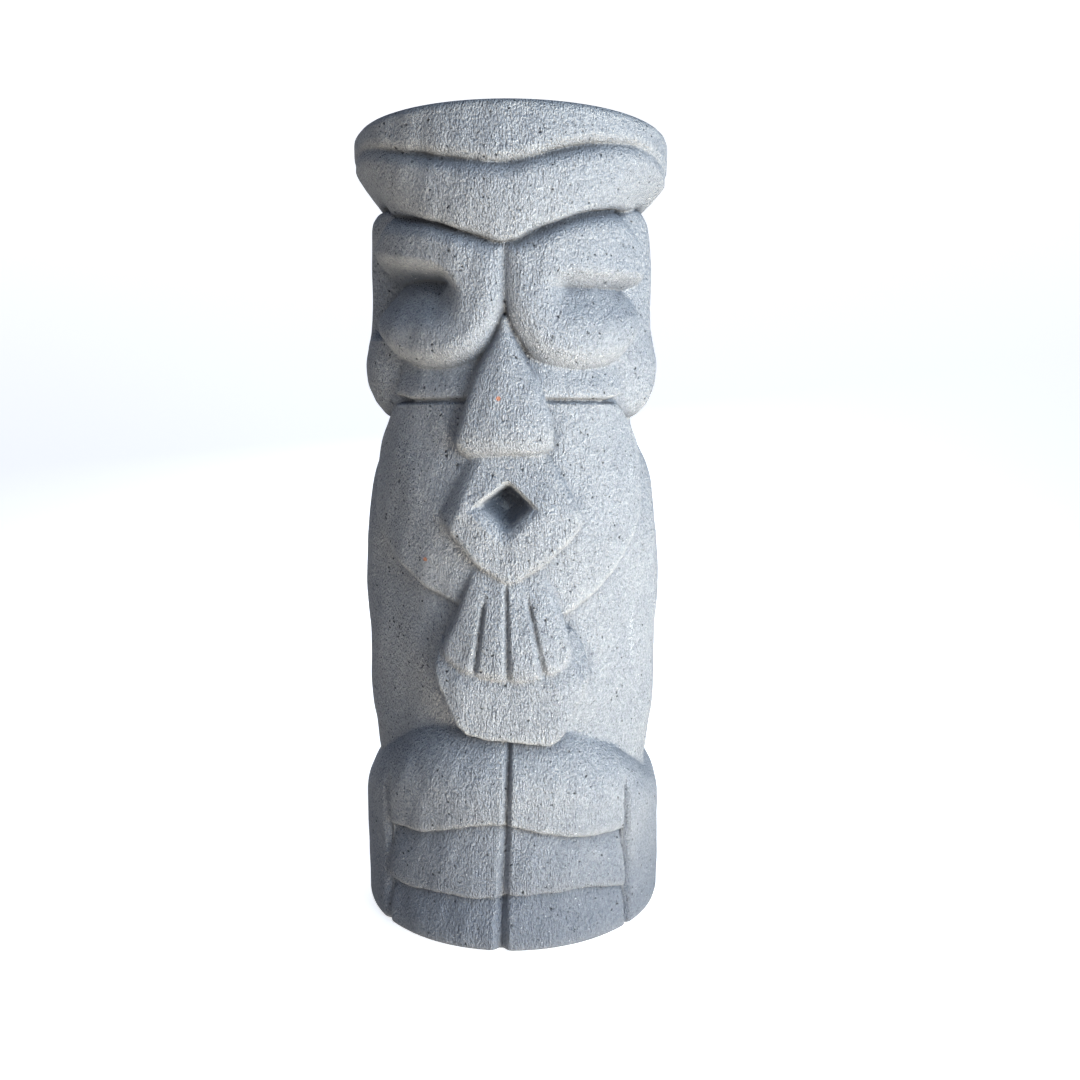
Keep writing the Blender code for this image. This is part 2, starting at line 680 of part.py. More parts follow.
# ---------------------------------------------------------------- assembly
def build():
    head_room = turned("head_core_room", head_core_profile(GAP), CUTTERS, HEAD_FRONT_SHARE)
    torso_room = turned("torso_room", torso_profile(GAP), CUTTERS, TORSO_FRONT_SHARE)
    for room in (head_room, torso_room):
        for vertex in room.data.vertices:
            vertex.co.y -= GAP if vertex.co.y < 0 else 0.0
    brow_room = full_ring("brow_room", lambda angle: brow_section(angle, GAP), CUTTERS)
    eye_room = lofted("eye_room", eye_angles(GAP), lambda angle: eye_section(angle, 2 * GAP), CUTTERS)
    strip_room = lofted("strip_room", strip_angles(GAP), lambda angle: strip_section(angle, 2 * GAP), CUTTERS)

    nose = make_nose()
    nose_room = grown(nose)
    radius = BLOCK_RADIUS - HEAD_CUT + NOSE_BED
    bed, bed_room = make_bed("nose_bed", radius, Z_CHIN, Z_FACE_TOP, HEAD_FRONT_SHARE)
    cut(nose, head_room, bed_room)
    baked(cut(nose_room, bed))
    mouth, mouth_room = make_mouth(nose_room)
    beard, beard_room = make_beard(mouth_room, torso_room)
    belly, belly_room = make_belly(beard_room, torso_room)

    brow = cut(full_ring("brow_slab", brow_section, FIGURE), head_room)
    plate = cut(make_face_plate(), head_room, torso_room, nose_room, mouth_room, beard_room)
    eye = make_eye(head_room, nose_room, brow_room)
    strip = cut(lofted("cheek_strip_right", strip_angles(), strip_section, FIGURE),
                head_room, nose_room, eye_room)
    ear = make_ear(head_room, torso_room, brow_room, eye_room, strip_room)
    cores = [make_head_core(), make_torso(), make_base_drum()]
    panels = make_panels(belly_room, torso_room)

    for obj in [*cores, make_crown_band(), brow, nose, mouth, plate, beard, belly, *panels, eye, strip, ear]:
        finish(obj)
    for obj in (eye, strip, ear):
        mirrored(obj, obj.name.replace("right", "left"))


clear_scene()
FIGURE = collection("tiki_figure")
CUTTERS = collection("cutters")
build()
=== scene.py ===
"""The looks of the tiki figure: one carved block of grey lava stone.

The block is described by one field, which is positive in the stone. Its reliefs are layers
that each have a radius and an outline. The field is meshed once, and each face goes to the
carved volume it belongs to, so that neighbouring pieces share their edge exactly.
Lengths inside the field are in 600ths of the figure's height, which are millimetres at its
built size; MM turns them into metres.
"""

import math

import bpy
import numpy as np
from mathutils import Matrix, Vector


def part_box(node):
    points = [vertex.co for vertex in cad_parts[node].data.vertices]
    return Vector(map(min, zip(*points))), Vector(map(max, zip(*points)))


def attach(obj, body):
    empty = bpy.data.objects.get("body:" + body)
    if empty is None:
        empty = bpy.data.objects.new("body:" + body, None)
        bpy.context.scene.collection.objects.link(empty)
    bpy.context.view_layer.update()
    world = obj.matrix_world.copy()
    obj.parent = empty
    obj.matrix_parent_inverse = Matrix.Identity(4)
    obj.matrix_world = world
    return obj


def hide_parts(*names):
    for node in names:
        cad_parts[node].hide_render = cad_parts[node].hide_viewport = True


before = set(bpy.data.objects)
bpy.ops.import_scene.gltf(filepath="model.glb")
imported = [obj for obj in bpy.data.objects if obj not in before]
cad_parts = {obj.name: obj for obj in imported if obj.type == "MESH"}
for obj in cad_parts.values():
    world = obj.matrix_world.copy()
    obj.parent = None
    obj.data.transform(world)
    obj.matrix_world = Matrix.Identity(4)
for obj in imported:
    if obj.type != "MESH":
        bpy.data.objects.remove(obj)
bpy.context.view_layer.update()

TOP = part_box("crown_band")[1].z
HEIGHT = 600.0
MM = TOP / HEIGHT
BLOCK = 120.0  # the block's radius
ARC = 112.0  # the radius on which outlines are unrolled
STEP = 1.6  # the meshing grid
FILLET = 1.7  # how far neighbouring layers run together
CHEEK_LINE = 401.2  # the level crease between the cheek strips and the face plate


# ---------------------------------------------------------------- lines and outlines
def curve(points, x):
    """A smooth line through points, (x, y) in order, which never swings past them."""
    px, py = np.array(points, float).T
    rate = np.diff(py) / np.diff(px)
    slope = np.zeros(len(px))
    both = rate[:-1] * rate[1:]
    slope[1:-1] = np.where(both > 0, 2 * both / np.where(both > 0, rate[:-1] + rate[1:], 1), 0)
    x = np.clip(x, px[0], px[-1])
    i = np.clip(np.searchsorted(px, x, side="right") - 1, 0, len(px) - 2)
    w = px[i + 1] - px[i]
    t = (x - px[i]) / w
    return (
        (1 + 2 * t) * (1 - t) ** 2 * py[i]
        + t * (1 - t) ** 2 * w * slope[i]
        + t * t * (3 - 2 * t) * py[i + 1]
        + t * t * (t - 1) * w * slope[i + 1]
    )


def smooth_min(a, b, k):
    h = np.maximum(k - np.abs(a - b), 0) / k
    return np.minimum(a, b) - h * h * k * 0.25


def smooth_max(a, b, k):
    return -smooth_min(-a, -b, k)


def step(low, high, x):
    t = np.clip((x - low) / (high - low), 0, 1)
    return t * t * (3 - 2 * t)


class Outline:
    """The distance inside a closed line on the block's unrolled front, kept as a fine map."""

    CELL = 0.8
    MARGIN = 26

    def __init__(self, points, rounds):
        pts = np.array(points, float)
        for _ in range(rounds):
            after = np.roll(pts, -1, axis=0)
            pts = np.stack([0.75 * pts + 0.25 * after, 0.25 * pts + 0.75 * after], 1).reshape(-1, 2)
        self.low = pts.min(0) - self.MARGIN
        size = np.ceil((pts.max(0) + self.MARGIN - self.low) / self.CELL).astype(int)
        x, z = [self.low[k] + self.CELL * np.arange(size[k] + 1) for k in (0, 1)]
        x, z = np.meshgrid(x, z, indexing="ij")
        near, inside = np.full(x.shape, 1e9), np.zeros(x.shape, bool)
        for (ax, az), (bx, bz) in zip(pts, np.roll(pts, -1, axis=0)):
            ex, ez, wx, wz = bx - ax, bz - az, x - ax, z - az
            t = np.clip((wx * ex + wz * ez) / (ex * ex + ez * ez + 1e-12), 0, 1)
            near = np.minimum(near, (wx - ex * t) ** 2 + (wz - ez * t) ** 2)
            inside ^= ((az <= z) != (bz <= z)) & ((ex * wz > ez * wx) == (bz > az))
        found = np.sqrt(near) * np.where(inside, 1, -1)
        for axis in (0, 1):
            found = 0.25 * (np.roll(found, 1, axis) + np.roll(found, -1, axis)) + 0.5 * found
        self.map = found.astype(np.float32)

    def __call__(self, x, z):
        u = np.clip((x - self.low[0]) / self.CELL, 0, self.map.shape[0] - 1.001)
        v = np.clip((z - self.low[1]) / self.CELL, 0, self.map.shape[1] - 1.001)
        i, j = u.astype(np.int32), v.astype(np.int32)
        u, v = u - i, v - j
        m = self.map
        return (m[i, j] * (1 - u) + m[i + 1, j] * u) * (1 - v) + (
            m[i, j + 1] * (1 - u) + m[i + 1, j + 1] * u
        ) * v


def unrolled(points):
    """Points given as (degrees from straight ahead, height), in millimetres along the arc."""
    return [(math.radians(a) * ARC, z) for a, z in points]


# Heights of the lines that two volumes share, against degrees from straight ahead.
BAND = [
    (-180, 576), (-95, 578), (-80, 580), (-63, 580), (-36, 570), (-19, 563), (-5, 559.5), (0, 559),
    (9.4, 563), (23.8, 571), (36.6, 576), (50, 578.5), (62, 576), (73, 572), (84, 569), (100, 572),
    (180, 576),
]
BROW = [
    (-180, 545), (-80, 545), (-60, 541), (-53, 534), (-29.7, 525.5), (-17, 517.5), (-7, 510.5),
    (-2, 508), (3, 509), (9, 514.5), (18, 522.5), (30.5, 530.5), (41, 534), (57, 538.5), (80, 545),
    (180, 545),
]
ROW_1 = [
    (-60, 79), (-48, 80.5), (-32.8, 84), (-21, 90), (-9.6, 96), (-2, 97), (0, 96), (10, 90.5), (24, 84),
    (35, 81), (47, 78), (60, 77),
]
ROW_2 = [
    (-60, 38), (-48, 37.5), (-40, 37), (-25, 39), (-13, 39), (-3, 40), (0, 42.5), (10, 42), (22, 42),
    (35.7, 39.5), (47, 34), (60, 32),
]
# The top of the base's shoulder, where the column rises out of it.
CREST = [
    (-180, 117), (-84, 117), (-70, 126), (-52, 143), (-35, 157), (-18, 161), (0, 160), (22, 157),
    (36, 148), (50, 136), (66, 118), (84, 105), (110, 115), (180, 117),
]

# Outlines on the unrolled front. The number after the points is how often the corners are cut.
EYE_LEFT = Outline(unrolled([
    (0.8, 524), (0.8, 500), (0.8, 478), (-0.4, 462), (-5, 444), (-11, 430), (-20, 423), (-31, 421.5),
    (-42, 425), (-54, 433.5), (-65, 446), (-72, 458), (-75.5, 474), (-75.5, 494), (-72, 512),
    (-63, 526), (-53, 534), (-44, 542), (-20, 536),
]), 2)
EYE_RIGHT = Outline(unrolled([
    (-2.0, 524), (-2.0, 500), (-1.8, 476), (0.2, 458), (5, 441), (11, 428.5), (22, 422.5), (34, 422),
    (44, 425), (52, 431), (62, 444), (67.5, 457), (70, 474), (70, 494), (68.5, 510), (63, 522),
    (54, 532), (44, 541), (18, 536),
]), 2)
EAR = Outline(unrolled([
    (40, 404), (50, 393), (62, 389), (84, 388.5), (100, 391), (112, 402), (119, 424), (119, 508),
    (112, 530), (100, 543), (84, 545), (60, 543), (46, 520), (40, 460),
]), 2)
STRIP_LEFT = Outline([(-74.5, 440), (-76.5, 424), (-84.5, 401.4), (-10, 401.4), (-10, 440)], 1)
STRIP_RIGHT = Outline([(74.5, 440), (77, 425), (85.5, 401.4), (10, 401.4), (10, 440)], 1)
PLATE = Outline(unrolled([
    (-49, 401.3), (-56, 398.5), (-62, 390), (-69, 377), (-73.5, 358), (-74, 336), (-70.5, 316),
    (-66, 305), (-58, 294), (-47, 281), (-34.5, 267), (-21, 256), (-8, 250), (8, 246), (21, 245),
    (28.5, 253), (36.5, 262), (46, 276), (56, 293), (63.5, 310), (67.5, 329), (68.5, 350), (66.5, 369),
    (61, 385), (56, 396), (50, 401.3),
]), 2)
NOSE = Outline([
    (-4, 458), (-8, 448), (-17.5, 427), (-26.5, 401), (-34, 377), (-35, 369), (-27, 363), (-19, 361.5),
    (-8, 363.5), (3, 365), (12, 363.5), (20, 361.5), (28, 363.5), (32, 371), (30, 386), (23, 404),
    (14, 428), (3, 449), (0, 458),
], 2)
MOUTH = Outline([
    (-24, 374), (-34, 362), (-51, 324), (-43, 313), (-22, 287.5), (-6, 275.5), (3, 273), (12, 276),
    (29, 288), (50, 309), (53, 318), (45, 335), (33, 354), (24, 372),
], 1)
BEARD = Outline([
    (-19, 292), (-29, 265), (-38.5, 243), (-46, 225), (-45.5, 219), (-36.5, 211.5), (-20, 206.5),
    (2, 203.5), (21, 204.5), (37, 208.5), (43.5, 217), (44, 227), (39.5, 244), (31, 266), (22, 292),
], 1)
BELLY = Outline([
    (-46, 232), (-52, 216), (-52, 206), (-44.5, 186), (-32, 163.5), (-22, 159.5), (4, 157.5),
    (30, 154.5), (38.5, 159), (46.5, 174), (58, 196), (59, 210), (53, 226), (44, 240),
], 1)


# ---------------------------------------------------------------- the layers of the block
def slit(z, angle, near, far, crease, up, down, depth):
    """The eye's level cut: a slope down to its crease from above, and one out of it below."""
    span = step(near, near + 15, angle) * (1 - step(far - 16, far, angle))
    rise = z - crease
    shape = np.where(rise > 0, 1 - rise / up, 1 + rise / down)
    return depth * span * smooth_max(shape, np.zeros_like(shape), 0.3)


def groove(distance, width, depth):
    """A V cut whose middle is where distance is 0, with slightly rounded shoulders."""
    return depth * smooth_max(1 - np.abs(distance) / width, np.zeros_like(distance), 0.3)


def crown_band(p):
    a, r, z = p["a"], p["r"], p["z"]
    radius = curve([(545, 118.4), (562, 119.2), (578, 120.0), (600, 119.6)], z)
    side = smooth_min(radius - r, HEIGHT - z, 9.0)
    return smooth_min(side, z - curve(BAND, a), 8.0)


def brow_slab(p):
    a, r, z = p["a"], p["r"], p["z"]
    high, low = curve(BAND, a), curve(BROW, a)
    t = (high - z) / (high - low)
    side = step(20, 78, np.abs(a))
    drop = (6.5 + 14.0 * side) * np.clip((t - 0.12) / 0.88, 0, 1.2) ** (2.0 - 0.8 * side)
    tuck = (6.5 - 6.0 * side) * np.clip(1 - t / 0.26, 0, 2) ** 2
    radius = 119.8 - 0.6 * side - drop - tuck
    return smooth_min(radius - r, z - low, 4.5)


def eye(p, outline, side):
    a, r, z, arc = side * p["a"], p["r"], p["z"], p["arc"]
    d = smooth_min(outline(arc, z), curve(BROW, p["a"]) + 1.5 - z, 3.0)
    swell = 1 - np.clip(1 - d / 17.0, 0, 1) ** 2.1
    floor = 104.5 - 4.0 * step(4, 20, np.abs(a))
    height = curve([(0, 113.5), (20, 114.7), (45, 114.3), (62, 113.5), (76, 111.3), (90, 109)], a)
    radius = floor + (height - floor) * swell
    if side < 0:
        crease = curve([(14, 474), (26, 483), (45, 487), (80, 486)], a)
        above = curve([(15, 10), (40, 12), (80, 26)], a)
        radius = radius - slit(z, a, 15, 118, crease, above, 30, 25.0)
    else:
        crease = curve([(12, 477), (24, 479.5), (60, 481.5), (80, 482)], a)
        radius = radius - slit(z, a, 11, 78, crease, 10, 25, 14.0)
    return smooth_min(radius - r, d + 1.0, 4.0)


def ear(p, side):
    a, r, z = side * p["a"], p["r"], p["z"]
    height = curve([
        (386, 92), (391, 98.5), (395, 102.5), (403, 108.2), (418, 113.0), (430, 114.0), (442, 112.6),
        (457, 110.2), (480, 108.5), (518, 108.3), (533, 107), (541, 103), (547, 97),
    ], z)
    bump = curve([
        (44, 0.0), (52, 0.15), (60, 0.5), (68, 0.82), (76, 1), (96, 1), (110, 0.6), (121, 0),
    ], a)
    hidden = 0.0
    if side < 0:
        # The deep slit of the left eye runs on into the front of its ear.
        hidden = step(446, 458, z) * (1 - step(490, 532, z)) * (1 - step(70, 84, a))
    core = 96 - 12 * hidden
    radius = core + (height - core) * (bump * (1 - hidden))
    return smooth_min(radius - r, EAR(math.radians(1) * ARC * a, z), 5.0)


def strip(p, outline):
    x, r, z = p["x"], p["r"], p["z"]
    radius = curve([(400, 105.6), (408, 105.2), (424, 101.6), (440, 99)], z)
    return smooth_min(radius - groove(z - CHEEK_LINE, 2.4, 4.5) - r, outline(x, z) + 1.0, 2.4)


def face_plate(p):
    r, z, arc = p["r"], p["z"], p["arc"]
    radius = curve([
        (245, 107.0), (270, 109.0), (300, 110.4), (330, 110), (350, 108.6), (365, 106.8), (380, 105.2),
        (391, 104.3), (401, 103.6),
    ], z)
    return smooth_min(radius - groove(z - CHEEK_LINE, 2.4, 4.5) - r, PLATE(arc, z) + 0.8, 4.5)


def nose(p):
    x, r, z = p["x"], p["r"], p["z"]
    ridge = curve([
        (355, 108), (362, 114.0), (368, 118.4), (377, 120.4), (400, 117.8), (430, 112.8), (460, 107.5),
    ], z)
    wide = curve([(360, 33), (376, 32), (460, 4)], z)
    across = np.clip(np.abs(x + 1.5) / wide, 0, 1.3)
    radius = ridge - 2.6 * across ** 2
    return smooth_min(radius - r, NOSE(x, z) + 2.0, 6.0)


def edge(p, corner, inward):
    """How far points are inside one straight edge, given a point on it and its inward direction."""
    return inward[0] * (p["x"] - corner[0]) + inward[1] * (p["z"] - corner[1])


def mouth_face(p):
    """The mouth's flat front, which leans back above and below its widest line."""
    r, z, y = p["r"], p["z"], p["y"]
    above = np.clip(z - 322, 0, None)
    face = smooth_min(119.8 - r, 118.4 + y, 4.0)
    face = face - 0.11 * above ** 1.12 - 0.03 * np.clip(322 - z, 0, None)
    # The upper left side is cut back as a slope instead of a wall.
    inward = edge(p, (-51, 324), (0.92, -0.39))
    return face - 14.0 * (np.clip(17.0 - inward, 0, None) / 17.0) ** 1.5


def mouth(p):
    return smooth_min(mouth_face(p), MOUTH(p["x"], p["z"]) + 1.2, 5.0)


def mouth_hole(p):
    """The stone outside the mouth's hole: a narrow bevel above, a long ramp up from below."""
    above = smooth_min(edge(p, (-27, 325), (0.604, -0.797)), edge(p, (1.4, 346.5), (-0.690, -0.724)), 3.0)
    under = smooth_min(edge(p, (-27, 325), (0.707, 0.707)), edge(p, (-1, 299), (-0.693, 0.721)), 8.0)
    hollow = smooth_min(1.9 * above, 0.62 * under, 3.0)
    throat = step(1.8, 5.5, above) * step(4.5, 16.0, under)
    inside = np.minimum(above, under)
    return mouth_face(p) - np.clip(hollow, 0, None) - 16.0 * throat + 3.0 * step(0.5, -4.0, inside)


def beard(p):
    x, r, z = p["x"], p["r"], p["z"]
    radius = curve([
        (203, 119.6), (211, 121.4), (226, 120.8), (250, 117.4), (275, 113.6), (295, 110.5),
    ], z)
    radius = radius - 0.0016 * x * x
    t = np.clip((272 - z) / 64.0, -0.2, 1.2)
    cut = 0.0
    for top, low, start in ((-15.5, -23.5, 265), (-0.5, 0.5, 276), (14, 26, 266)):
        line = top + (low - top) * np.clip((start - z) / (start - 209.0), 0, 1.15)
        run = step(start + 1, start - 14, z)
        cut = np.maximum(cut, groove(x - line, 2.2 + 1.6 * t, 3.4) * run)
    return smooth_min(radius - cut - r, BEARD(x, z) + 1.5, 5.0)


def belly(p):
    x, r, z, y = p["x"], p["r"], p["z"], p["y"]
    front = curve([
        (154, 118.6), (170, 119.2), (196, 119.2), (206, 117.6), (216, 114.6), (228, 110.5), (240, 107),
    ], z)
    face = smooth_min(front + 0.6 - r, front - 2.2 + y, 5.0)
    return smooth_min(face, BELLY(x, z) + 0.8, 3.2)


def torso(p):
    a, r, z = np.abs(p["a"]), p["r"], p["z"]
    side = curve([
        (90, 108), (115, 108.4), (125, 110.1), (142, 111.8), (160, 114), (193, 115.4), (226, 116.2),
        (259, 116.8), (292, 116.9), (308, 115.5), (324, 113), (340, 110.4), (352, 107), (362, 102.6),
        (371, 98.5), (391, 94),
    ], z)
    front = curve([
        (115, 97), (135, 98.5), (160, 101), (190, 103), (245, 103), (270, 102.5), (330, 101), (391, 93),
    ], z)
    share = step(50, 84, a)
    radius = front + (side - front) * share
    return smooth_min(radius - r, 392.0 - z, 4.0)


def head_core(p):
    r, z = p["r"], p["z"]
    radius = 86.0 + 11.0 * step(76, 98, np.abs(p["a"]))
    return np.minimum(smooth_min(radius - r, z - 384.0, 9.0), 549.0 - z)


def drum_radius(a, z):
    """The base swells to the block's own radius, and its shoulder rises beside the belly."""
    crest = curve(CREST, a)
    height = curve([
        (-180, 30), (-84, 30), (-40, 44), (0, 46), (30, 44), (60, 34), (84, 27), (180, 30),
    ], a)
    lean = curve([(-180, 11), (-84, 11), (-40, 17), (40, 17), (84, 10), (180, 11)], a)
    t = np.clip((z - (crest - height)) / height, 0, 1.3)
    return BLOCK - lean * t ** 2.2


def side_lines(z):
    """Where the grooves beside the panels run, along the arc."""
    return curve([(0, -100.5), (115, -99)], z), curve([(0, 95.5), (115, 94.5)], z)


def base_radius(p):
    """The base's skin with its upright grooves, the place across it, and how far inside them."""
    z, arc = p["z"], p["arc"]
    left, right = side_lines(z)
    middle = curve([(0, -4.8), (40, -4.0), (90, -1.2), (162, 0.8)], z)
    valley = curve([(0, 5.6), (60, 5.0), (100, 3.8), (162, 2.8)], z)
    cut = groove(arc - middle, valley, curve([(0, 6.0), (90, 5.5), (162, 4.5)], z))
    fade = step(122, 106, z)
    cut = np.maximum(cut, groove((arc - left) / np.where(arc < left, 7.0, 2.5), 1.0, 4.2) * fade)
    cut = np.maximum(cut, groove((arc - right) / np.where(arc < right, 2.5, 4.5), 1.0, 4.8) * fade)
    return drum_radius(p["a"], z) - cut, arc - middle, np.minimum(arc - left, right - arc)


def base_drum(p):
    r, z = p["r"], p["z"]
    radius, _, within = base_radius(p)
    worn = 1.5 * np.clip(1 - z / 7.0, 0, 1) ** 2
    radius = radius - 9.0 * step(0.5, 3.5, within) - worn
    return smooth_min(smooth_min(radius - r, z, 1.5), curve(CREST, p["a"]) + 6 - z, 3.0)


def panel(p, side, low, high, lip, tuck, top=False):
    """A pillow between two lines, whose lower lip stands out over the one below it."""
    r, z = p["r"], p["z"]
    t = np.clip((z - low) / (high - low), 0, 1)
    radius, across, within = base_radius(p)
    radius = radius + 0.5 - tuck * t ** 1.9 - 1.0 * (1 - t) ** 3
    out = smooth_min(radius - r, z - low, lip)
    out = smooth_min(out, high + (8 if top else 0) - z, 2.0)
    return np.minimum(np.minimum(out, across * side + 0.4), within + 0.4)


def upper_panel(p, side):
    return panel(p, side, curve(ROW_1, p["a"]), curve(CREST, p["a"]), 4.2, 0, True)


def middle_panel(p, side):
    return panel(p, side, curve(ROW_2, p["a"]), curve(ROW_1, p["a"]) + 2.0, 3.6, 9.0)


def lower_panel(p, side):
    return panel(p, side, np.zeros_like(p["z"]), curve(ROW_2, p["a"]) + 2.0, 3.5, 8.5)


THROUGH = 200  # the depth of a layer whose stone goes to the block's middle
# name: (function, arguments, degrees, heights, depth of its own stone below the block's surface)
LAYERS = {
    "torso": (torso, (), (-180, 180), (88, 398), THROUGH),
    "head_core": (head_core, (), (-180, 180), (378, 556), THROUGH),
    "base_drum": (base_drum, (), (-180, 180), (-12, 176), THROUGH),
    "brow_slab": (brow_slab, (), (-180, 180), (498, 590), THROUGH),
    "crown_band": (crown_band, (), (-180, 180), (550, 612), THROUGH),
    "face_plate": (face_plate, (), (-86, 86), (232, 412), 22),
    "ear_left": (ear, (-1,), (-130, -32), (376, 556), 24),
    "ear_right": (ear, (1,), (32, 130), (376, 556), 24),
    "cheek_strip_left": (strip, (STRIP_LEFT,), (-62, 3), (394, 446), 24),
    "cheek_strip_right": (strip, (STRIP_RIGHT,), (-3, 62), (394, 446), 24),
    "eye_left": (eye, (EYE_LEFT, -1), (-104, 8), (408, 558), 28),
    "eye_right": (eye, (EYE_RIGHT, 1), (-8, 104), (408, 558), 28),
    "belly": (belly, (), (-42, 42), (146, 252), 20),
    "beard": (beard, (), (-34, 34), (192, 304), 18),
    "mouth": (mouth, (), (-40, 40), (262, 384), 20),
    "nose": (nose, (), (-28, 28), (350, 478), 24),
    "upper_panel_left": (upper_panel, (-1,), (-60, 6), (66, 178), 22),
    "upper_panel_right": (upper_panel, (1,), (-6, 60), (66, 178), 22),
    "middle_panel_left": (middle_panel, (-1,), (-60, 6), (26, 108), 22),
    "middle_panel_right": (middle_panel, (1,), (-6, 60), (26, 108), 22),
    "lower_panel_left": (lower_panel, (-1,), (-60, 6), (-12, 52), 22),
    "lower_panel_right": (lower_panel, (1,), (-6, 60), (-12, 52), 22),
}
NAMES = list(LAYERS)

FULL_TURN = 6.2832  # in radians
# Each wave's length, and how far it swings to either side of the surface.
WAVE_SIZES = ((60, 0.45), (48, 0.4), (37, 0.35), (30, 0.3), (22, 0.22), (18, 0.2), (13, 0.12), (11, 0.1))
rng = np.random.default_rng(11)
WAVES = [
    (rng.normal(size=3) / np.array([1, 1, 1.4]), rng.uniform(0, 6.28), length, size)
    for length, size in WAVE_SIZES
]


def wobble(x, y, z):
    """The slow unevenness that a hand-cut surface keeps."""
    total = np.zeros_like(x)
    for direction, phase, length, size in WAVES:
        k = direction / np.linalg.norm(direction) * FULL_TURN / length
        total += size * np.sin(k[0] * x + k[1] * y + k[2] * z + phase)
    return total


def field(points, labels=False):
    """The field at points, (n, 3) in millimetres, and which layer each one is deepest in."""
    x, y, z = points.T
    a = np.degrees(np.arctan2(x, -y))
    r = np.hypot(x, y)
    total = np.full(len(x), -60.0)
    best, label = np.full(len(x), -1e3), np.full(len(x), 255, np.uint8)
    for k, (make, args, (a0, a1), (z0, z1), own) in enumerate(LAYERS.values()):
        at = np.flatnonzero((a >= a0) & (a <= a1) & (z >= z0) & (z <= z1))
        if not len(at):
            continue
        p = {"x": x[at], "y": y[at], "z": z[at], "a": a[at], "r": r[at], "arc": np.radians(a[at]) * ARC}
        value = make(p, *args)
        total[at] = smooth_max(total[at], value, FILLET)
        if labels:
            mine = np.minimum(value, p["r"] - (BLOCK - own)) if own < THROUGH else value
            wins = mine > best[at]
            best[at[wins]], label[at[wins]] = mine[wins], k
    # The mouth's hole lies within these distances of the front's middle line and its own height.
    at = np.flatnonzero((np.abs(x) < 36) & (y < 0) & (np.abs(z - 323) < 34))
    if len(at):
        p = {"x": x[at], "y": y[at], "z": z[at], "r": r[at]}
        total[at] = smooth_min(total[at], mouth_hole(p), 1.2)
    # The wobble dies out at the flat foot and top.
    total += wobble(x, y, z) * step(0, 6, np.abs(z)) * step(0, 8, np.abs(HEIGHT - z)) * 0.7
    return (total, label) if labels else total


# ---------------------------------------------------------------- meshing
REACH = 123.0  # nothing is farther from the axis than this
CORE = 84.0  # everything nearer to the axis than this is uncut stone
CORE_LEVELS = (
    (0, 112, "base_drum"),
    (112, 391, "torso"),
    (391, 546, "head_core"),
    (546, 576, "brow_slab"),
    (576, 600, "crown_band"),
)
# How far each measure of hollows and ridges looks out of a surface (1) or into it (-1): the hollows carry
# painted shade, partly dirt, and the ridges paler worn edges with a painted highlight.
SHADE_AND_WEAR_REACH = {
    "hollow_fine": (3.0, 1),
    "hollow_broad": (9.0, 1),
    "hollow_wide": (26.0, 1),
    "ridge_fine": (3.0, -1),
    "ridge_broad": (9.0, -1),
}


def sampled():
    """Which layer each point of a regular grid is in, counted from 1, with 0 for air."""
    side = np.arange(-REACH, REACH + STEP, STEP)
    up = np.arange(-3.0, HEIGHT + 3.0 + STEP, STEP)
    x, y = np.meshgrid(side, side, indexing="ij")
    r = np.hypot(x, y)
    grid = np.zeros((*x.shape, len(up)), np.uint8)
    deep = r < CORE
    for low, high, name in CORE_LEVELS:
        levels = (up > low) & (up <= high)
        grid[:, :, levels] = np.where(deep[:, :, None], NAMES.index(name) + 1, grid[:, :, levels])
    columns = np.argwhere((r >= CORE) & (r < REACH))
    for i, j in (chunk.T for chunk in np.array_split(columns, 12)):
        place = np.broadcast_arrays(x[i, j][:, None], y[i, j][:, None], up[None, :])
        value, label = field(np.stack(place, -1).reshape(-1, 3), True)
        found = np.where(value > 0, label + 1, 0).astype(np.uint8)
        grid[i, j] = found.reshape(len(i), -1)
    grid[grid > len(NAMES)] = 0
    return grid, np.array([side[0], side[0], up[0]])


def net(grid, origin):
    """Vertices in the cells that hold more than one layer, and the faces between layers."""
    shape = np.array(grid.shape) - 1
    first = grid[:-1, :-1, :-1]
    mixed, airy = np.zeros(shape, bool), np.zeros(shape, bool)
    for dx in (0, 1):
        for dy in (0, 1):
            for dz in (0, 1):
                corner = grid[dx:dx + shape[0], dy:dy + shape[1], dz:dz + shape[2]]
                mixed |= corner != first
                airy |= corner == 0
    number = np.full(shape, -1, np.int64)
    cells = np.argwhere(mixed)
    number[mixed] = np.arange(len(cells))
    points = origin + (cells + 0.5) * STEP
    outer = airy[mixed]
    quads, below, above = [], [], []
    for axis in range(3):
        b, c = (axis + 1) % 3, (axis + 2) % 3
        one = [slice(1, -1)] * 3
        two = [slice(1, -1)] * 3
        one[axis], two[axis] = slice(0, -1), slice(1, None)
        here, there = grid[tuple(one)], grid[tuple(two)]
        at = np.argwhere(here != there)
        here, there = here[tuple(at.T)], there[tuple(at.T)]
        corner = at.copy()
        corner[:, b] += 1
        corner[:, c] += 1
        ring = []
        for db, dc in ((0, 0), (1, 0), (1, 1), (0, 1)):
            cell = corner.copy()
            cell[:, b] += db - 1
            cell[:, c] += dc - 1
            ring.append(number[tuple(cell.T)])
        quads.append(np.stack(ring, 1))
        below.append(here)
        above.append(there)
    return points, outer, np.concatenate(quads), np.concatenate(below), np.concatenate(above)


def gradient(points):
    """The field's slope, from its values a short way to each side."""
    reach = 0.35
    out = np.empty_like(points)
    for k in range(3):
        shift = np.zeros(3)
        shift[k] = reach
        out[:, k] = (field(points + shift) - field(points - shift)) / (2 * reach)
    return out


def settled(points, rounds):
    """Moves points onto the surface along the field's slope."""
    for _ in range(rounds):
        slope = gradient(points)
        size = np.maximum((slope ** 2).sum(1), 0.2)
        move = slope * (field(points) / size)[:, None]
        length = np.linalg.norm(move, axis=1, keepdims=True)
        points = points - move * np.minimum(1, 1.2 / np.maximum(length, 1e-9))
    return points


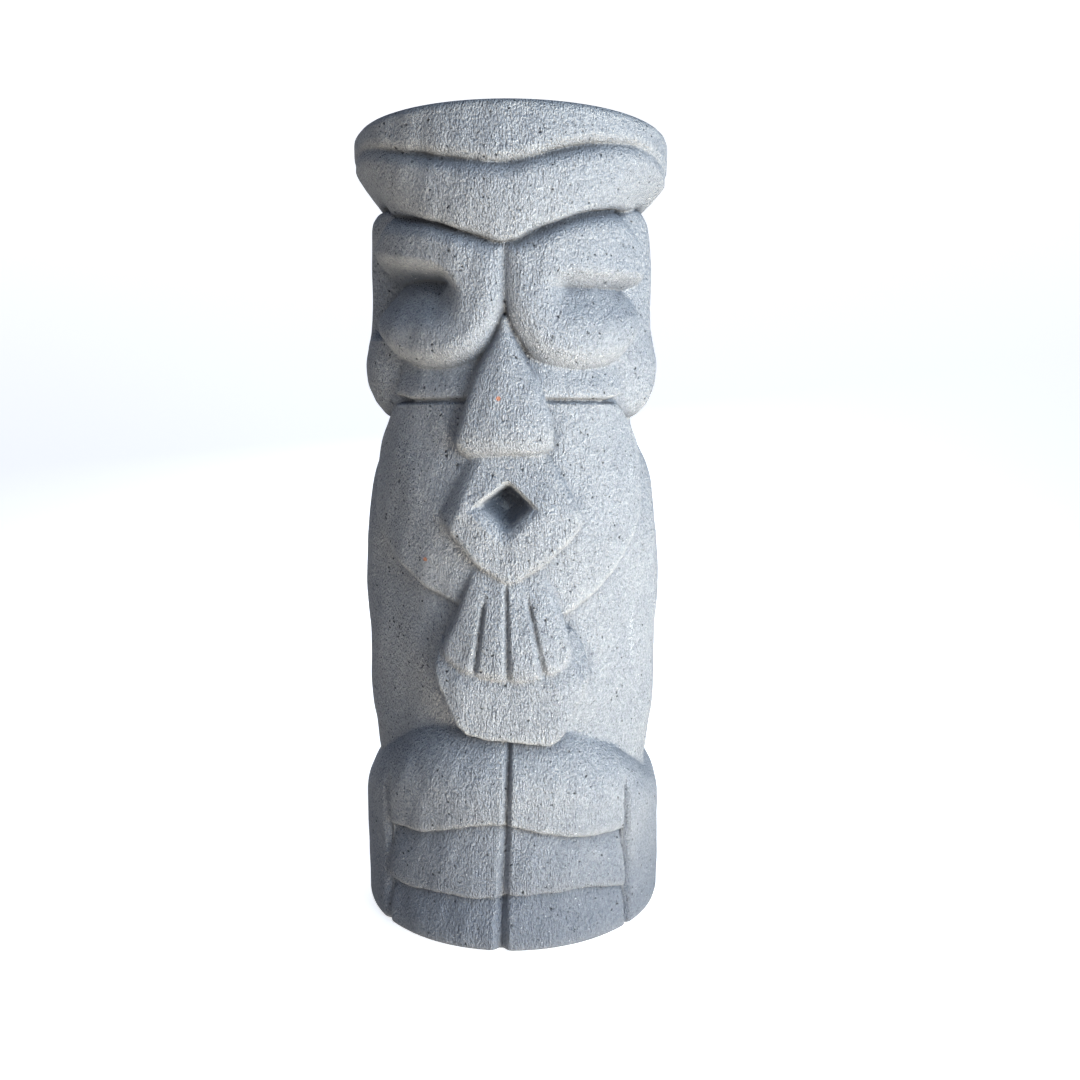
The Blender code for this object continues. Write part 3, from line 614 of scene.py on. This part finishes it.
def evened(points, pairs, share):
    """Each point moved part of the way to the middle of its neighbours."""
    n = len(points)
    count = np.bincount(pairs[:, 0], minlength=n)
    middle = np.stack([np.bincount(pairs[:, 0], points[pairs[:, 1], k], n) for k in range(3)], 1)
    middle /= np.maximum(count, 1)[:, None]
    return np.where(count[:, None] > 0, points + share * (middle - points), points)


def carved():
    """All the pieces: shared points, their normals, and each piece's faces."""
    grid, origin = sampled()
    points, outer, quads, below, above = net(grid, origin)
    skin = (below == 0) | (above == 0)
    edges = np.concatenate([quads[skin][:, [k, (k + 1) % 4]] for k in range(4)])
    pairs = np.unique(np.concatenate([edges, edges[:, ::-1]]), axis=0)
    inner_edges = np.concatenate([quads[~skin][:, [k, (k + 1) % 4]] for k in range(4)])
    inner_pairs = np.unique(np.concatenate([inner_edges, inner_edges[:, ::-1]]), axis=0)
    inner_pairs = inner_pairs[~outer[inner_pairs[:, 0]]]
    at = np.flatnonzero(outer)
    points[at] = settled(points[at], 3)
    for _ in range(2):
        points[at] = evened(points, pairs, 0.5)[at]
        points[at] = settled(points[at], 1)
    for _ in range(8):
        points = evened(points, inner_pairs, 0.7)
    normals = np.zeros_like(points)
    slope = -gradient(points[at])
    normals[at] = slope / np.maximum(np.linalg.norm(slope, axis=1, keepdims=True), 1e-9)
    # How hollow or ridged each surface point is, for the painted shade in hollows and the painted
    # highlight and wear on edges.
    shade_and_wear = {}
    for name, (reach, side) in SHADE_AND_WEAR_REACH.items():
        found = np.zeros(len(points))
        found[at] = np.clip(1 + side * field(points[at] + side * reach * normals[at]) / reach, 0, 1)
        shade_and_wear[name] = found
    return points, normals, shade_and_wear, skin, quads, below, above


def face_normals(points, faces):
    a, b, c, d = (points[faces[:, k]] for k in range(4))
    normal = np.cross(c - a, d - b)
    return normal / np.maximum(np.linalg.norm(normal, axis=1, keepdims=True), 1e-12)


def build_pieces(material):
    """One mesh object for each carved volume, shaded by the field's own slope."""
    points, normals, shade_and_wear, skin, quads, below, above = carved()
    for k, name in enumerate(NAMES, 1):
        forward, back = below == k, above == k
        faces = np.concatenate([quads[forward], quads[back][:, ::-1]])
        shown = np.concatenate([skin[forward], skin[back]])
        used, faces = np.unique(faces, return_inverse=True)
        faces = faces.reshape(-1, 4)
        mesh = bpy.data.meshes.new(name + "_stone")
        mesh.vertices.add(len(used))
        mesh.vertices.foreach_set("co", (points[used] * MM).astype(np.float32).ravel())
        mesh.loops.add(faces.size)
        mesh.loops.foreach_set("vertex_index", faces.astype(np.int32).ravel())
        mesh.polygons.add(len(faces))
        mesh.polygons.foreach_set("loop_start", np.arange(0, faces.size, 4, dtype=np.int32))
        mesh.polygons.foreach_set("use_smooth", np.ones(len(faces), bool))
        mesh.update(calc_edges=True)
        for label, values in shade_and_wear.items():
            attribute = mesh.attributes.new(label, "FLOAT", "POINT")
            attribute.data.foreach_set("value", values[used].astype(np.float32))
        corner = normals[used][faces]
        flat = face_normals(points[used], faces)
        corner = np.where(shown[:, None, None], corner, flat[:, None, :])
        mesh.normals_split_custom_set(corner.reshape(-1, 3).astype(np.float32))
        mesh.materials.append(material)
        obj = bpy.data.objects.new(name + "_stone", mesh)
        bpy.context.scene.collection.objects.link(obj)
        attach(obj, "root")
        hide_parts(name)


# ---------------------------------------------------------------- stone
class Nodes:
    """Short calls for building a node tree."""

    def __init__(self, tree):
        self.tree = tree
        tree.nodes.clear()

    def add(self, kind, inputs=None, **settings):
        """A new node. Each input is a value or another node's output."""
        node = self.tree.nodes.new(kind)
        for key, value in settings.items():
            setattr(node, key, value)
        for key, value in (inputs or {}).items():
            if isinstance(value, bpy.types.NodeSocket):
                self.tree.links.new(value, node.inputs[key])
            else:
                node.inputs[key].default_value = value
        return node

    def math(self, operation, a, b):
        return self.add("ShaderNodeMath", {0: a, 1: b}, operation=operation).outputs[0]

    def total(self, *terms):
        """The sum of (value, weight) terms."""
        found = 0.0
        for value, weight in terms:
            found = self.math("ADD", found, self.math("MULTIPLY", value, weight))
        return found

    def ramp(self, value, low, high):
        """0 at low and 1 at high, held at both ends."""
        inputs = {"Value": value, "From Min": low, "From Max": high}
        return self.add("ShaderNodeMapRange", inputs, clamp=True).outputs["Result"]

    def mix(self, factor, a, b):
        inputs = {"Factor": factor, "A": a, "B": b}
        return self.add("ShaderNodeMix", inputs, data_type="RGBA").outputs["Result"]

    def coat(self, colour, mask, share, tint):
        """The colour with a share of a tint over it, where the mask is."""
        return self.mix(self.math("MULTIPLY", mask, share), colour, (*tint, 1))

    def scaled(self, vector, scale):
        return self.add("ShaderNodeMapping", {"Vector": vector, "Scale": scale}).outputs["Vector"]

    def moved(self, vector, by, size):
        """A place moved by a colour, by up to size metres along each axis."""
        inputs = {0: by, 1: (size, size, size), 2: vector}
        return self.add("ShaderNodeVectorMath", inputs, operation="MULTIPLY_ADD").outputs["Vector"]

    def distance(self, vector, point):
        inputs = {0: vector, 1: point}
        return self.add("ShaderNodeVectorMath", inputs, operation="DISTANCE").outputs["Value"]

    def noise(self, vector, scale, detail, roughness):
        inputs = {"Vector": vector, "Scale": scale, "Detail": detail, "Roughness": roughness}
        return self.add("ShaderNodeTexNoise", inputs)

    def cells(self, vector, scale):
        inputs = {"Vector": vector, "Scale": scale, "Randomness": 1.0}
        return self.add("ShaderNodeTexVoronoi", inputs, feature="F1")

    def spots(self, vector, scale, size, share):
        """1 in small round spots, in a given share of the cells."""
        cell = self.cells(vector, scale)
        split = self.add("ShaderNodeSeparateColor", {"Color": cell.outputs["Color"]})
        near = self.ramp(cell.outputs["Distance"], size, size * 0.35)
        chosen = self.math("LESS_THAN", split.outputs["Red"], share)
        return self.math("MULTIPLY", near, chosen)


# The tint that each hollow or ridge measure gives: where it starts, where it is full, its share, the
# tint. The hollow tints are painted shade in creases and recesses (hollow_wide only painted shade, the
# finer ones partly dirt); the ridge tints are paler worn edges, partly a painted highlight.
SHADE_AND_WEAR_TINTS = {
    "hollow_wide": (0.25, 0.95, 0.62, (0.100, 0.115, 0.145)),
    "hollow_broad": (0.06, 0.75, 0.45, (0.150, 0.165, 0.190)),
    "ridge_broad": (0.12, 0.75, 0.30, (0.50, 0.50, 0.49)),
    "hollow_fine": (0.08, 0.70, 0.50, (0.135, 0.132, 0.128)),
    "ridge_fine": (0.10, 0.60, 0.32, (0.56, 0.55, 0.53)),
}
# Small rust spots: the node, the place as shares of its width and height, and the radius in mm.
RUST = (("nose", (0.43, 0.42), 2.0), ("face_plate", (0.22, 0.27), 1.9))
# Pale scuffs: the node, the place as above, and the half width and half height in metres.
SCUFFS = (
    ("nose", (0.62, 0.20), (0.011, 0.0022)),
    ("face_plate", (0.20, 0.57), (0.004, 0.016)),
    ("face_plate", (0.93, 0.66), (0.002, 0.015)),
    ("torso", (0.90, 0.40), (0.003, 0.030)),
)
SCUFF_RADIUS = 0.01  # a scuff is scaled to a circle of this radius


def place_on(name, across, up):
    """The x and z of a place on a node's box, given as shares of its width and height."""
    low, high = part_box(name)
    return low[0] + (high[0] - low[0]) * across, low[2] + (high[2] - low[2]) * up


def stone_textures(n, place):
    """The noises and spots that the colour and the bump share."""
    jitter = n.add("ShaderNodeTexNoise", {"Vector": place, "Scale": 420.0, "Detail": 2.0})
    bent, torn = (n.moved(place, jitter.outputs["Color"], size) for size in (0.0010, 0.0034))
    found = {"bent": bent}
    for name, scale, detail, roughness, upright in (
        ("cloud", 9.0, 3.0, 0.55, 1.0),
        ("patch", 38.0, 4.0, 0.6, 1.0),
        ("grain", 760.0, 2.0, 0.7, 1.0),
        ("coarse", 360.0, 3.0, 0.7, 1.0),
        ("hatch", 640.0, 2.0, 0.6, 0.15),
        ("strokes", 240.0, 2.0, 0.5, 0.2),
    ):
        where = place if upright == 1.0 else n.scaled(place, (1.0, 1.0, upright))
        found[name] = n.noise(where, scale, detail, roughness).outputs["Fac"]
    found["cells"] = n.cells(n.scaled(bent, (1.0, 1.0, 0.55)), 800.0).outputs["Distance"]
    found["pores"] = n.spots(torn, 240.0, 0.28, 0.10)
    found["pits"] = n.spots(torn, 430.0, 0.33, 0.16)
    found["flecks"] = n.spots(place, 400.0, 0.24, 0.07)
    return found


def stone_colour(n, place, tex):
    """Grey grain with painted shade in hollows and towards the foot, paler edges that are partly wear and
    partly painted highlight, pores, rust spots and scuffs.
    """
    cell_edges = n.math("SUBTRACT", tex["cells"], 0.45)
    tone = n.total((tex["coarse"], 0.45), (tex["grain"], 0.55), (cell_edges, -0.10))
    colour = n.mix(n.ramp(tone, 0.36, 0.64), (0.170, 0.185, 0.210, 1), (0.415, 0.432, 0.452, 1))
    colour = n.coat(colour, n.ramp(tex["cloud"], 0.35, 0.7), 0.25, (0.38, 0.385, 0.385))
    colour = n.coat(colour, n.ramp(tex["patch"], 0.45, 0.75), 0.22, (0.40, 0.41, 0.42))
    # Painted shade in the hollows, and paler edges that are partly a painted highlight.
    for name, (low, high, share, tint) in SHADE_AND_WEAR_TINTS.items():
        shade_and_wear = n.add("ShaderNodeAttribute", attribute_name=name).outputs["Fac"]
        colour = n.coat(colour, n.ramp(shade_and_wear, low, high), share, tint)
    axes = n.add("ShaderNodeSeparateXYZ", {"Vector": place}).outputs
    # Painted shade: bluish and darker towards the foot.
    height = n.total((axes["Z"], 1 / TOP), (tex["patch"], 0.05))
    colour = n.coat(colour, n.ramp(height, 0.235, 0.06), 0.52, (0.085, 0.105, 0.145))
    colour = n.coat(colour, tex["pores"], 0.92, (0.030, 0.032, 0.038))
    colour = n.coat(colour, tex["pits"], 0.70, (0.075, 0.08, 0.09))
    colour = n.coat(colour, tex["flecks"], 0.75, (0.78, 0.79, 0.80))
    for name, share, radius in RUST:
        x, z = place_on(name, *share)
        away = n.distance(n.scaled(tex["bent"], (1.0, 0.0, 1.0)), (x, 0.0, z))
        spot = n.ramp(away, radius * 0.001, radius * 0.0006)
        colour = n.coat(colour, spot, 0.8, (0.62, 0.22, 0.10))
    gritty = n.ramp(tex["grain"], 0.50, 0.62)
    front = n.math("LESS_THAN", axes["Y"], 0.0)
    for name, share, half in SCUFFS:
        x, z = place_on(name, *share)
        wide, tall = SCUFF_RADIUS / half[0], SCUFF_RADIUS / half[1]
        away = n.distance(n.scaled(place, (wide, 0.0, tall)), (x * wide, 0.0, z * tall))
        area = n.math("MULTIPLY", n.ramp(away, SCUFF_RADIUS, 0.3 * SCUFF_RADIUS), gritty)
        colour = n.coat(colour, n.math("MULTIPLY", area, front), 0.5, (0.74, 0.75, 0.76))
    return colour


def stone_material():
    material = bpy.data.materials.new("lava_stone")
    material.use_nodes = True
    n = Nodes(material.node_tree)
    place = n.add("ShaderNodeTexCoord").outputs["Object"]
    tex = stone_textures(n, place)
    bump = n.total(
        (tex["hatch"], 0.70),
        (tex["strokes"], 0.25),
        (tex["grain"], 0.45),
        (n.math("SUBTRACT", 1.0, tex["cells"]), 0.5),
        (tex["coarse"], 0.6),
        (tex["pores"], -0.9),
        (tex["pits"], -0.45),
    )
    relief = n.add("ShaderNodeBump", {"Strength": 1.0, "Distance": 0.0026, "Height": bump})
    shader = n.add("ShaderNodeBsdfPrincipled", {
        "Base Color": stone_colour(n, place, tex),
        "Roughness": 0.93,
        "Metallic": 0.0,
        "IOR": 1.45,
        "Specular IOR Level": 0.25,
        "Normal": relief.outputs["Normal"],
    })
    n.add("ShaderNodeOutputMaterial", {"Surface": shader.outputs["BSDF"]})
    return material


# ---------------------------------------------------------------- surroundings
# The lights: the place, what it is aimed at, its width and height, its watts and its colour.
LIGHTS = {
    "key": ((0.96, -0.78, 0.46), (0, 0, 0.36), (1.10, 0.60), 27, (0.72, 0.86, 1.0)),
    "back": ((-0.3, 1.7, 1.3), (0, 0, 0.4), (1.2, 0.8), 22, (0.90, 0.95, 1.0)),
    "low": ((0.62, -0.62, -0.40), (0, 0, 0.50), (0.90, 0.30), 3.8, (1.0, 0.90, 0.73)),
    "fill": ((-0.62, -1.0, 0.10), (0, 0, 0.36), (0.70, 0.40), 1.1, (1.0, 0.96, 0.90)),
}
LOW_SPREAD = math.radians(64)
SKY_ABOVE, SKY_BELOW = (0.020, 0.072, 0.185, 1), (0.72, 0.66, 0.57, 1)


def paper_material():
    """Pale paper that glows a little, so that it stays near white behind the figure."""
    material = bpy.data.materials.new("studio_paper")
    material.use_nodes = True
    inputs = material.node_tree.nodes["Principled BSDF"].inputs
    inputs["Base Color"].default_value = (0.82, 0.82, 0.82, 1)
    inputs["Roughness"].default_value = 0.9
    inputs["Emission Color"].default_value = (1, 1, 1, 1)
    inputs["Emission Strength"].default_value = 0.78
    return material


def backdrop(material):
    """One sheet that runs from the floor up into the wall in a wide curve."""
    near, foot, bend, top, half = -6.0, 1.2, 1.6, 6.0, 9.0
    turns = np.linspace(0.1, math.pi / 2, 16)
    profile = [(near, 0.0), (foot, 0.0)]
    profile += [(foot + bend * math.sin(t), bend - bend * math.cos(t)) for t in turns]
    profile += [(foot + bend, top)]
    verts = [(x, y, z) for y, z in profile for x in (-half, half)]
    faces = [(2 * k, 2 * k + 1, 2 * k + 3, 2 * k + 2) for k in range(len(profile) - 1)]
    mesh = bpy.data.meshes.new("backdrop")
    mesh.from_pydata(verts, [], faces)
    mesh.polygons.foreach_set("use_smooth", [True] * len(faces))
    mesh.materials.append(material)
    obj = bpy.data.objects.new("backdrop", mesh)
    bpy.context.scene.collection.objects.link(obj)
    obj.visible_diffuse = False
    obj.visible_shadow = False


def area_light(name, place, target, size, power, colour):
    light = bpy.data.lights.new(name, "AREA")
    light.shape = "RECTANGLE"
    light.size, light.size_y = size
    light.energy = power
    light.color = colour
    obj = bpy.data.objects.new(name, light)
    bpy.context.scene.collection.objects.link(obj)
    obj.location = place
    obj.rotation_euler = (Vector(target) - Vector(place)).to_track_quat("-Z", "Y").to_euler()
    return obj


def sky():
    """The light from all round: deep blue from above, pale and warm from below."""
    world = bpy.data.worlds.new("studio")
    world.use_nodes = True
    n = Nodes(world.node_tree)
    place = n.add("ShaderNodeTexCoord").outputs["Generated"]
    axes = n.add("ShaderNodeSeparateXYZ", {"Vector": place}).outputs
    colour = n.mix(n.ramp(axes["Z"], 0.55, -0.85), SKY_ABOVE, SKY_BELOW)
    shade = n.add("ShaderNodeBackground", {"Color": colour, "Strength": 1.0})
    n.add("ShaderNodeOutputWorld", {"Surface": shade.outputs["Background"]})
    bpy.context.scene.world = world


def studio():
    backdrop(paper_material())
    lights = {name: area_light(name, *values) for name, values in LIGHTS.items()}
    lights["back"].visible_camera = False
    lights["low"].data.spread = LOW_SPREAD
    sky()


def camera():
    """The photograph's view: from a little to the right of straight ahead, looking slightly down."""
    away, height = 815 * MM, 392 * MM
    turn, tilt, pan = math.radians(2.2), 0.125, 0.0274
    data = bpy.data.cameras.new("camera")
    data.lens = 33.6
    data.sensor_width = 36.0
    obj = bpy.data.objects.new("camera", data)
    bpy.context.scene.collection.objects.link(obj)
    obj.location = (away * math.sin(turn), -away * math.cos(turn), height)
    obj.rotation_euler = (math.pi / 2 - tilt, 0, turn - pan)
    bpy.context.scene.camera = obj


build_pieces(stone_material())
studio()
camera()
bpy.context.scene.view_settings.view_transform = "Standard"
